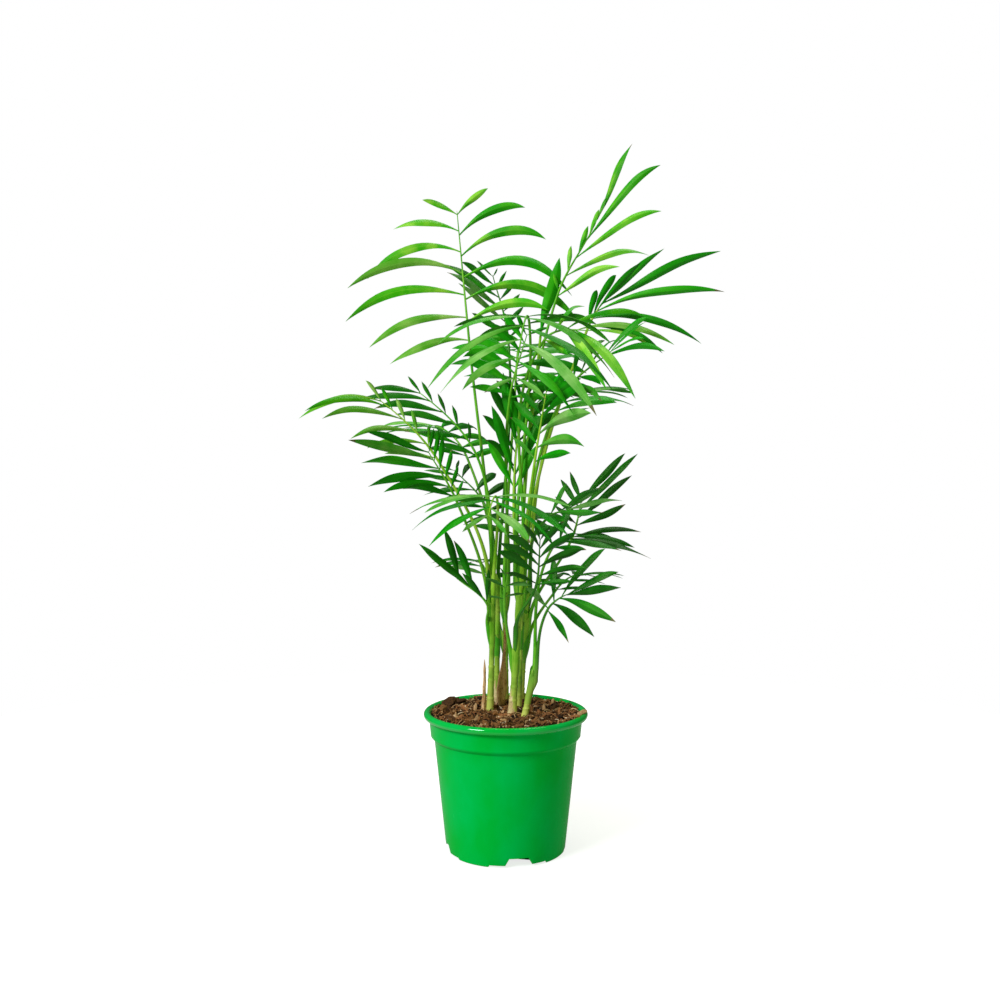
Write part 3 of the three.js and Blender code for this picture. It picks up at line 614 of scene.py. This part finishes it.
def leaflet_points(leaflets, rng):
    """Leaflets as thin closed blades, folded along the midrib, twisted, waved at the edge and curled at the
    tip, with how far along each of their rings is."""
    count = len(leaflets)

    def all_of(*keys):
        return (np.array([leaf[key] for leaf in leaflets], float).reshape(count, 1, -1) for key in keys)

    root, along, face, tangent = all_of("root", "along", "face", "tangent")
    length, width, droop, sweep = all_of("length", "width", "droop", "sweep")
    varied = Sizes(**{key: rng.uniform(*span, count)[:, None, None] for key, span in VARIED.items()})
    s = S[None, :, None]
    flat = unit(face - along * dot(face, along))
    across = np.cross(along, flat)
    late = np.maximum(0, s - BLADE.curl) / (1 - BLADE.curl)
    bent = s ** LEAFLET.bend * length
    centre = root + along * s * length - UP * droop * bent + tangent * sweep * bent
    centre = centre - UP * varied.sag * length * late ** 2
    centre = centre + across * (varied.bow * s ** 2 + varied.snake * np.sin(s * 7)) * length
    run = unit(np.gradient(centre, S, axis=1))
    wide = unit(across - run * dot(across, run))
    twist = varied.turn + varied.twist * s + varied.tip_twist * late
    wide, thick = turned(wide, np.cross(wide, run), twist)
    half = np.minimum(width, BLADE.slender * length) / 2 * PROFILE[None, :, None] * varied.width
    reach = np.abs(SECTION)
    fold = (varied.foot_fold * (1 - s) ** 1.5 + varied.fold) * half
    wave = varied.wave * np.sin(s * varied.waves + varied.phase + SECTION * 1.4)
    wave = wave * np.sin(pi * s) * reach ** 2
    thickness = (BLADE.edge + (BLADE.thick - BLADE.edge) * (1 - reach ** 2)) / 2
    thickness = thickness * (0.45 + 0.55 * np.minimum(1, half / 2.0))
    height = -fold * reach ** 1.25 + wave + TOP * thickness
    points = centre[:, :, None] + wide[:, :, None] * (SECTION * half)[..., None]
    points = points + thick[:, :, None] * height[..., None]
    return points, np.broadcast_to(S[None] * length[:, :, 0], (count, len(S)))


# ---------------- the plant

# The fronds' tones. A pair of codes is a colour and its lighter shade. The sheen pairs are pale colours, a
# painted sheen for glossy leaflets. dry is the share of leaflets with a dry tip, and stalks are the surfaces
# of the ribs.
TONES = dict(
    young=Sizes(
        slot="young_leaf", top=[("109800", "8cd034"), ("2cae00", "a4dc46"), ("069200", "60c016")],
        sheen=[("4ca41c", "9ccc62")], under=("54ac1c", "88c850"), rough=0.36, dry=0.04, stalks=(0, 2),
    ),
    leaf=Sizes(
        slot="leaf", top=[("008e00", "1ea408"), ("009c00", "42b616"), ("007a00", "129400")],
        sheen=[("2c9812", "7cbc52"), ("46a228", "92c86c")], under=("1e8808", "4ca428"), rough=0.4,
        dry=0.14, stalks=(0, 2),
    ),
    dark=Sizes(
        slot="dark_leaf", top=[("006800", "1a7e0a"), ("007200", "2c8c16"), ("005000", "106c04")],
        sheen=[("2c7a1c", "6c9c50")], under=("226c1a", "549040"), rough=0.38, dry=0.35, stalks=(0, 1),
    ),
)
DRY_TIP = Sizes(rings=2, colours=("5c6030", "8a8258"), rough=0.6)

# The share of leaflets with a pale painted sheen, and how much fuller than the solids' the leaflets of some
# fronds are.
PAINTED_SHEEN = dict(
    frond_front_high=0.7, frond_front_low=0.7, frond_left_far=0.6, frond_right_pale=0.3,
    frond_tall_left=0.25, frond_right_foot=0.2, frond_right_mid=0.25, others=0.04,
)
PLUMP = dict(frond_tall_left=1.08, frond_front_low=1.25, frond_front_high=1.2)

rng = np.random.default_rng(SEED)
tip_rng = np.random.default_rng(SEED + 1)
fronds = [Sizes(name=f"frond_{name}", **{**FROND, **sizes}) for name, sizes in FRONDS.items()]
frond_names = [frond.name for frond in fronds]
for number, frond in enumerate(fronds):
    frond.number = number
    frond.rib = rib_of(frond)

for tone, look in TONES.items():
    tops = look.top + look.sheen
    surfaces = [leaf_surface(f"{tone}_top_{k}", *codes, look.rough) for k, codes in enumerate(tops)]
    surfaces.append(leaf_surface(f"{tone}_under", *look.under, look.rough + 0.16, vein=0.5))
    surfaces.append(leaf_surface(f"{tone}_dry_tip", *DRY_TIP.colours, DRY_TIP.rough, vein=0.1))
    under_slot, dry_slot = len(tops), len(tops) + 1
    toned = [frond for frond in fronds if frond.tone == tone]
    shapes = Shapes()
    for frond in toned:
        points, along = leaflet_points(grown_leaflets(frond), rng)
        count = len(points)
        shade = rng.integers(0, len(look.top), count)
        # Some leaflets take a pale colour that paints a glossy sheen.
        painted_sheen_slot = rng.integers(len(look.top), len(tops), count)
        shade = np.where(rng.uniform(0, 1, count) < PAINTED_SHEEN.get(frond.name, PAINTED_SHEEN["others"]), painted_sheen_slot, shade)
        slots = np.where(TOP < 0, under_slot, shade[:, None, None])
        slots = np.tile(slots, (1, len(S) - 1, 1))
        dried = tip_rng.uniform(0, 1, count) < look.dry
        slots[dried, -DRY_TIP.rings:] = dry_slot
        shapes.add(points, slots, ACROSS_UV, along)
    piece = shapes.piece(f"leaflets_{tone}", surfaces, sharp=60)
    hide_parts(*[frond.name for frond in toned])

# Petioles and rachises, with their radii at the foot, the crown and the tip, and the clasp below the foot.
STALK = Sizes(petiole=30, blade=26, sides=10, radii=(1.3, 0.95, 0.33), swell=0.7, end=0.12)
CLASP = Sizes(steps=9, longest=17, share=0.4, depth=2.6, thick=2.0, thin=0.8)


def clasp_of(frond):
    """The part of a petiole below its foot, where it thins out and sinks into the cane."""
    cane = CANES[frond.cane]
    sink = np.linspace(1, 0, CLASP.steps, endpoint=False)
    up = frond.up - min(CLASP.longest, CLASP.share * frond.up) * sink
    reach = cane_radius(cane, up) + STAND - CLASP.depth * sink ** 1.6
    centres = cane_axis(cane, up) + level(frond.foot) * reach[:, None]
    radii = CLASP.thick - (CLASP.thick - CLASP.thin) * sink
    return centres, np.tile(UP, (len(up), 1)), radii


def stalk_points(frond):
    """A frond's clasp, petiole and rachis as one tube."""
    petiole, blade, side = frond.rib
    low, high = np.linspace(0, 1, STALK.petiole), np.linspace(0, 1, STALK.blade)[1:]
    clasp, clasp_run, clasp_radii = clasp_of(frond)
    petiole, petiole_run = bezier(petiole, low)
    blade, blade_run = bezier(blade, high)
    left, face = axes_at(np.concatenate([clasp_run, petiole_run, blade_run]), side, frond.roll)
    share = np.concatenate([low / 2, 0.5 + high / 2])
    radii = np.interp(share, (0, 0.5, 1), STALK.radii) + STALK.swell * np.exp(-share * 16)
    radii = np.concatenate([clasp_radii, radii])
    radii[-1] = STALK.end
    return tube(np.concatenate([clasp, petiole, blade]), left, face, radii, STALK.sides)


rib_surfaces = [
    stalk_surface("rib_green", "3a9c0e", "84ca38"),
    stalk_surface("rib_dark", "1c7010", "549a2c"),
    stalk_surface("rib_yellow", "74b818", "b6de50"),
]
shapes = Shapes()
for frond in fronds:
    shapes.add(stalk_points(frond), TONES[frond.tone].stalks[frond.number % 2])
piece = shapes.piece("petioles_and_rachises", rib_surfaces)
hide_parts(*frond_names)

# Sheaths that clasp the canes under each petiole. lip has places on the turned-in mouth: up, and inwards.
SHEATH = Sizes(
    sides=28, rows=14, height=16, loose=0.12, thick=0.3, bulge=1.3, lip=((0.985, 0.25), (0.9, 0.45)),
)


def sheath_points(frond):
    """A sheath, from below a petiole's foot to its slanted mouth, which bulges under the petiole."""
    cane = CANES[frond.cane]
    angle = circle(SHEATH.sides)
    turn = np.cos(angle - radians(frond.foot))
    foot = frond.up - SHEATH.height
    mouth = frond.up + 1.5 + 3.5 * turn + 0.5 * np.sin(angle * 3 + frond.number)
    rows = []
    for share in np.linspace(0, 1, SHEATH.rows):
        up = foot + share * (mouth - foot)
        bulge = SHEATH.bulge * np.exp(-((1 - turn) / 0.45) ** 2) * smooth(0.1, 0.95, share)
        thick = SHEATH.loose + SHEATH.thick * smooth(0, 0.4, share) + bulge
        rows.append((up, cane_radius(cane, np.maximum(up, 0)) + thick))
    rim = rows[-1][1]
    rows += [(foot + share * (mouth - foot), rim - inwards) for share, inwards in SHEATH.lip]
    up, radius = np.array(rows).transpose(1, 0, 2)
    centre = cane_axis(cane, np.clip(up, -2, cane.height))
    centre[..., 2] = SOIL_TOP + CLEARANCE + up
    ring = np.stack([np.cos(angle), np.sin(angle), 0 * angle], axis=-1)
    return (centre + ring[None] * radius[..., None])[None]


sheath_surfaces = [
    stalk_surface("sheath_green", "248610", "62ae28", 0.5),
    stalk_surface("sheath_pale", "60a41a", "a8d04c", 0.55),
]
shapes = Shapes()
for frond in fronds:
    shapes.add(sheath_points(frond), int(rng.integers(0, len(sheath_surfaces))))
piece = shapes.piece("sheaths", sheath_surfaces)
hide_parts(*frond_names)

# Canes with ring scars, green above and paler at the foot.
cane_surfaces = [
    stalk_surface("cane_green", "4e9016", "c2da5a", 0.45, foot="cace66", fade=24),
    papery_surface("cane_foot", "c2a870", "ddcf96", "6b4a2a"),
]
for index, (name, cane) in enumerate(CANES.items()):
    shapes = Shapes()
    dry = dry_foot(cane, index) if name in DRY_PATCH.canes else 0
    shapes.add(cane_points(cane, CANE_SKIN, ring_scars(cane, index)), dry)
    piece = shapes.piece(f"cane_{name}_skin", cane_surfaces)
    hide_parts(f"cane_{name}")

dry_surface = papery_surface("dry_sheath", "b88c58", "e0bc88", "6e4824")
for index, (name, cane) in enumerate(DEAD.items()):
    shapes = Shapes()
    shapes.add(cane_points(cane, DEAD_SKIN, papery_relief(index * 2.0)))
    piece = shapes.piece(f"{name}_skin", [dry_surface], sharp=70)
    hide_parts(name)

# ---------------- potting mix

# Shades of the mix: a colour and its lighter shade, and its share of the bark chips and of the coir fibres.
MIX = dict(
    dark=("321c0a", "62421e", 0.27, 0.16),
    brown=("62401e", "94683a", 0.27, 0.26),
    rust=("7e4e2a", "b27e4c", 0.21, 0.28),
    tan=("9e784c", "ceac80", 0.12, 0.22),
    black=("180c03", "36220e", 0.1, 0.04),
    pale=("c8ac88", "e8d6b6", 0.03, 0.04),
)
SHADES = list(MIX)

# Small, middling and large splinters. reach is how far out they lie, and steep how much they are pitched.
CHIPS = (
    dict(count=2000, long=(1, 3.4), wide=(0.6, 1.7), thick=(0.5, 1.3), reach=53.7, steep=0.5),
    dict(count=620, long=(3, 7.5), wide=(0.8, 2), thick=(0.6, 1.4), reach=52.5, steep=0.6),
    dict(count=150, long=(5, 12), wide=(1.8, 4.4), thick=(1.2, 2.8), reach=50, steep=0.5),
)
FIBRES = Sizes(count=900, long=(4, 15), radius=(0.14, 0.34), reach=52, edge=54, curl=0.9, hover=0.35)

# The largest lumps: place, heading with pitch and roll, length with width and depth, and shade.
LUMPS = (
    ((-42, 17, 102.5), (20, 35, 20), (11, 9, 7), "dark"),
    ((-46, 3, 101.5), (80, 10, 0), (9, 5, 3.5), "brown"),
    ((-34, 27, 101.5), (150, -20, 30), (9, 5, 4), "dark"),
    ((54.5, -14, 101.9), (60, 5, 10), (13, 4, 2.2), "tan"),
    ((50, -20, 100.6), (110, -12, 0), (10, 5, 3), "rust"),
    ((-19.7, -25, 100.2), (10, 10, 0), (3.2, 2, 1.4), "pale"),
    ((-2, -33, 100.6), (35, 0, 0), (6, 5, 3), "tan"),
    ((24, -38, 100.6), (160, 14, 20), (8, 4, 3), "brown"),
    ((-32, -30, 100.4), (130, 8, -20), (8, 4, 3), "rust"),
    ((36, 8, 101), (60, 16, 0), (10, 5, 4), "dark"),
)


def soil_height(x, y):
    """Height of the mix at a place, rough at two scales."""
    rough = noise.fractal(Vector((x / 9, y / 9, 3.1)), 0.9, 2.1, 4) * 2.4
    fine = noise.noise(Vector((x / 1.7, y / 1.7, 7.7))) * 0.6
    return SOIL_TOP + rough + fine


def soil_disc(rings=64, sides=190, middle=0.35, reach=53.9, skirt=14):
    """The mix's rough top, closed by a skirt down into the pot."""
    rows = []
    for k in range(rings):
        r = middle + (reach - middle) * k / (rings - 1)
        places = [(r * cos(a), r * sin(a)) for a in circle(sides)]
        rows.append([(x, y, soil_height(x, y)) for x, y in places])
    edge = np.array(rows[-1])
    rows.append((edge * [0.985, 0.985, 0] + [0, 0, SOIL_TOP - skirt]).tolist())
    return np.array(rows)[::-1][None]


def scattered(count, rng, reach):
    """Places spread evenly over the mix."""
    radius = reach * np.sqrt(rng.uniform(0, 1, count))
    turn = rng.uniform(0, 2 * pi, count)
    return radius * np.cos(turn), radius * np.sin(turn)


def bark(rng, centre, heading, pitch, roll, length, width, depth, rings=5, sides=7):
    """Rough lumps and splinters of bark. The arguments from centre to depth hold one value a lump."""
    count = len(length)
    run = np.stack([np.cos(heading) * np.cos(pitch), np.sin(heading) * np.cos(pitch), np.sin(pitch)], axis=-1)
    a = unit(np.cross(UP, run))
    a, b = turned(a, np.cross(run, a), roll[:, None])
    angle = circle(sides)
    along = np.linspace(-0.5, 0.5, rings)
    swell = np.where(np.abs(along) > 0.49, 0.45, 1.0)
    grit = rng.uniform(0.62, 1.25, (count, rings, sides))
    across = np.cos(angle) * grit * swell[:, None] * width[:, None, None] / 2
    deep = np.sin(angle) * grit * swell[:, None] * depth[:, None, None] / 2
    slide = (along[None, :, None] + rng.uniform(-0.05, 0.05, (count, rings, sides))) * length[:, None, None]
    points = centre[:, None, None] + run[:, None, None] * slide[..., None]
    return points + a[:, None, None] * across[..., None] + b[:, None, None] * deep[..., None]


def chips(rng, count, long, wide, thick, reach, steep):
    """Splinters of bark that lie at all angles on the mix."""
    x, y = scattered(count, rng, reach)
    length, width, depth = (rng.uniform(*span, count) for span in (long, wide, thick))
    z = np.array([soil_height(a, b) for a, b in zip(x, y)]) + depth * 0.3 + rng.uniform(-0.2, 1.3, count)
    heading = rng.uniform(0, 2 * pi, count)
    pitch = rng.normal(0, steep, count)
    roll = rng.normal(0, 0.5, count)
    return bark(rng, np.stack([x, y, z], axis=-1), heading, pitch, roll, length, width, depth)


def fibres(rng, rings=9, sides=4):
    """Coir fibres that curl over the mix."""
    count = FIBRES.count
    place = np.stack(scattered(count, rng, FIBRES.reach), axis=-1)
    heading = rng.uniform(0, 2 * pi, count)
    length = rng.uniform(*FIBRES.long, count)
    curl = rng.normal(0, FIBRES.curl, count)
    t = np.linspace(-0.5, 0.5, rings)
    way = heading[:, None] + curl[:, None] * t[None]
    step = np.stack([np.cos(way), np.sin(way)], axis=-1) * (length / (rings - 1))[:, None, None]
    flat = np.cumsum(step, axis=1) + place[:, None]
    flat = flat * np.minimum(1, FIBRES.edge / np.linalg.norm(flat, axis=-1, keepdims=True))
    base = np.array([[soil_height(*p) for p in row] for row in flat])
    arch = np.abs(rng.normal(0, 1.1, count))[:, None] * np.sin(pi * (t + 0.5))[None]
    centre = np.concatenate([flat, (base + FIBRES.hover + arch)[..., None]], axis=-1)
    run = unit(np.gradient(centre, axis=1))
    a = unit(np.cross(UP, run))
    b = np.cross(run, a)
    taper = np.where(np.abs(t) > 0.49, 0.4, 1)
    thick = rng.uniform(*FIBRES.radius, count)[:, None, None, None] * taper[None, :, None, None]
    angle = circle(sides)[None, None, :, None]
    return centre[:, :, None] + (a[:, :, None] * np.cos(angle) + b[:, :, None] * np.sin(angle)) * thick


mix_surfaces = [crumb_surface(f"mix_{name}", code, light) for name, (code, light, *_) in MIX.items()]
chip_shares, fibre_shares = ([shade[k] for shade in MIX.values()] for k in (2, 3))

shapes = Shapes()
shapes.add(soil_disc(), SHADES.index("black"))
soil = shapes.piece("potting_mix", mix_surfaces, sharp=80)
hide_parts("soil")

shapes = Shapes()
for sizes in CHIPS:
    shades = rng.choice(len(SHADES), sizes["count"], p=chip_shares)
    shapes.add(chips(rng, **sizes), shades[:, None, None])
at, lies, sizes, shades = zip(*LUMPS)
lumps = bark(rng, np.array(at, float), *np.radians(lies).T, *np.array(sizes, float).T, rings=7, sides=9)
shapes.add(lumps, np.array([SHADES.index(shade) for shade in shades])[:, None, None])
chip_piece = shapes.piece("bark_chips", mix_surfaces, sharp=25)
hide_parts("soil")

shapes = Shapes()
shades = rng.choice(len(SHADES), FIBRES.count, p=fibre_shares)
shapes.add(fibres(rng), shades[:, None, None])
coir = shapes.piece("coir_fibres", mix_surfaces)
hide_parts("soil")

# ---------------- pot

# The pot's skin. neck has the heights at which the band turns out to the rim's roll.
POT_SKIN = Sizes(sides=160, steps=12, edge=0.35, polish_from=95.6, neck=(94.6, 95.4, 95.8))


def pot_profile():
    """Radius and height round the pot's section, from the middle of its underside to that of its floor."""
    p, steps = POT, POT_SKIN.steps
    neck_low, neck_middle, neck_high = POT_SKIN.neck
    inside = p.foot - p.wall + (p.body_top - p.foot) / p.step_bottom * p.floor
    walls = [
        (p.foot + (p.body_top - p.foot) * k / steps, p.chamfer + (p.step_bottom - p.chamfer) * k / steps)
        for k in range(steps + 1)
    ]
    rim = [
        (p.rim - p.roll + p.roll * cos(turn), p.roll_middle + p.roll * sin(turn))
        for turn in np.radians(range(-80, 171, 10))
    ]
    return [
        (0.0, 0.0), (p.foot * 0.5, 0.0), (p.foot - p.chamfer, 0.0), *walls,
        (p.body_top + 0.5, p.step_bottom + 0.25), (p.band - 0.35, p.band_bottom - 0.5),
        (p.band, p.band_bottom), (p.band + 0.05, p.band_bottom + 1.0),
        (p.band_top - 0.1, neck_low), (p.band_top + 0.2, neck_middle), (p.band_top + 1.0, neck_high), *rim,
        (p.band_top - p.wall + 0.6, p.roll_middle + 0.2), (p.band_top - p.wall, p.roll_middle - 2.0),
        (p.band - p.wall, p.band_bottom), (p.body_top - p.wall, p.step_bottom),
        (inside, p.floor), (inside * 0.5, p.floor), (0.0, p.floor),
    ]


def lathe(name, profile, sides):
    """A closed turned object, from a profile that starts and ends on the axis."""
    rows = profile[1:-1]
    points = [(r * cos(a), r * sin(a), h) for r, h in rows for a in circle(sides)]
    first, last = len(points), len(points) + 1
    points += [(0, 0, profile[0][1]), (0, 0, profile[-1][1])]
    faces = []
    for k in range(len(rows) - 1):
        for i in range(sides):
            j = (i + 1) % sides
            faces.append((k * sides + i, k * sides + j, (k + 1) * sides + j, (k + 1) * sides + i))
    top = (len(rows) - 1) * sides
    for i in range(sides):
        j = (i + 1) % sides
        faces.append((first, j, i))
        faces.append((last, top + i, top + j))
    return solid(name, points, faces)


def channel_bars():
    """The bars that cut the drainage channels, as one object."""
    points, faces = [], []
    for angle, cut in ((angle, cut) for angle in CHANNELS.angles for cut in CHANNEL_CUTS):
        half, top, tall = cut.width / 2, cut.top_width / 2, cut.height
        section = [(-half, -2), (half, -2), (half, 0), (top, tall), (-top, tall), (-half, 0)]
        turn = radians(angle)
        start = len(points)
        for y in (-POT.foot - 4, -POT.foot + CHANNELS.reach):
            points += [(x * cos(turn) - y * sin(turn), x * sin(turn) + y * cos(turn), z) for x, z in section]
        n = len(section)
        faces.append(tuple(start + k for k in range(n)))
        faces.append(tuple(start + n + k for k in range(n))[::-1])
        for k in range(n):
            j = (k + 1) % n
            faces.append((start + k, start + n + k, start + n + j, start + j))
    return solid("channel_bars", points, faces)


pot = lathe("pot_skin", pot_profile(), POT_SKIN.sides)
bars = channel_bars()
cut = pot.modifiers.new("channels", "BOOLEAN")
cut.object = bars
cut.operation = "DIFFERENCE"
cut.solver = "EXACT"
cut.use_self = True
soft = pot.modifiers.new("edges", "BEVEL")
soft.width = POT_SKIN.edge * MM
soft.segments = 2
soft.limit_method = "ANGLE"
soft.angle_limit = radians(40)
bpy.context.view_layer.update()
shaped = bpy.data.meshes.new_from_object(pot.evaluated_get(bpy.context.evaluated_depsgraph_get()))
pot.modifiers.clear()
pot.data = shaped
bpy.data.objects.remove(bars)
shaped.materials.clear()
shaped.materials.append(pot_surface("pot_plastic", 0.24, 0.025, (0.2, 1, 0.5, 1)))
shaped.materials.append(pot_surface("pot_rim_polish", 0.08, 0.5, (0.7, 1, 0.9, 1)))
for face in shaped.polygons:
    face.material_index = int(face.center.z > POT_SKIN.polish_from * MM)
shaped.shade_smooth()
shaped.set_sharp_from_angle(angle=radians(38))
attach(pot, "root")
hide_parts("pot")

# ---------------- studio

FLOOR = Sizes(radius=700, sides=96)
CAMERA = Sizes(place=(-0.0042, -0.7727, 0.2750), tilt=88.5, sensor=36, lens=38.16)
MIDDLE = Vector((0, 0, 0.25))  # where the lights point
LIGHTS = dict(
    key=Sizes(place=(-1.3, -1.3, 1.4), size=0.8, power=46, tint=(0.97, 0.98, 1.08)),
    fill=Sizes(place=(1.6, -1.5, 0.9), size=1.6, power=1.6, tint=(1, 1, 0.4)),
    top=Sizes(place=(0.2, 0.5, 2.0), size=1.2, power=16, tint=(1, 1, 1)),
)

edge = [(FLOOR.radius * cos(a), FLOOR.radius * sin(a), 0) for a in circle(FLOOR.sides)]
floor = solid("studio_floor", edge, [tuple(range(len(edge)))])
floor.data.materials.append(floor_surface())

camera = placed("camera", bpy.data.cameras.new("camera"))
camera.data.sensor_width = CAMERA.sensor
camera.data.lens = CAMERA.lens
camera.location = CAMERA.place
camera.rotation_euler = (radians(CAMERA.tilt), 0, 0)
bpy.context.scene.camera = camera

for name, lamp in LIGHTS.items():
    light = placed(name, bpy.data.lights.new(name, "AREA"))
    light.data.shape = "DISK"
    light.data.size = lamp.size
    light.data.energy = lamp.power
    light.data.color = lamp.tint
    light.location = lamp.place
    light.rotation_euler = (MIDDLE - light.location).to_track_quat("-Z", "Y").to_euler()

# The studio's walls: a soft grey to the plant, darker in reflections, and plain white to the camera.
world = bpy.data.worlds.new("studio")
world.use_nodes = True
links, nodes = world.node_tree.links, world.node_tree.nodes
path = nodes.new("ShaderNodeLightPath")
walls = nodes["Background"].outputs[0]
nodes["Background"].inputs["Color"].default_value = (0.95, 1, 0.5, 1)
nodes["Background"].inputs["Strength"].default_value = 0.3
for ray, strength in (("Is Glossy Ray", 0.07), ("Is Camera Ray", 1.0)):
    shown = nodes.new("ShaderNodeBackground")
    shown.inputs["Strength"].default_value = strength
    shown.inputs["Color"].default_value = (1, 1, 1, 1)
    either = nodes.new("ShaderNodeMixShader")
    links.new(path.outputs[ray], either.inputs[0])
    links.new(walls, either.inputs[1])
    links.new(shown.outputs[0], either.inputs[2])
    walls = either.outputs[0]
links.new(walls, nodes["World Output"].inputs["Surface"])
bpy.context.scene.world = world
bpy.context.scene.view_settings.view_transform = "Standard"
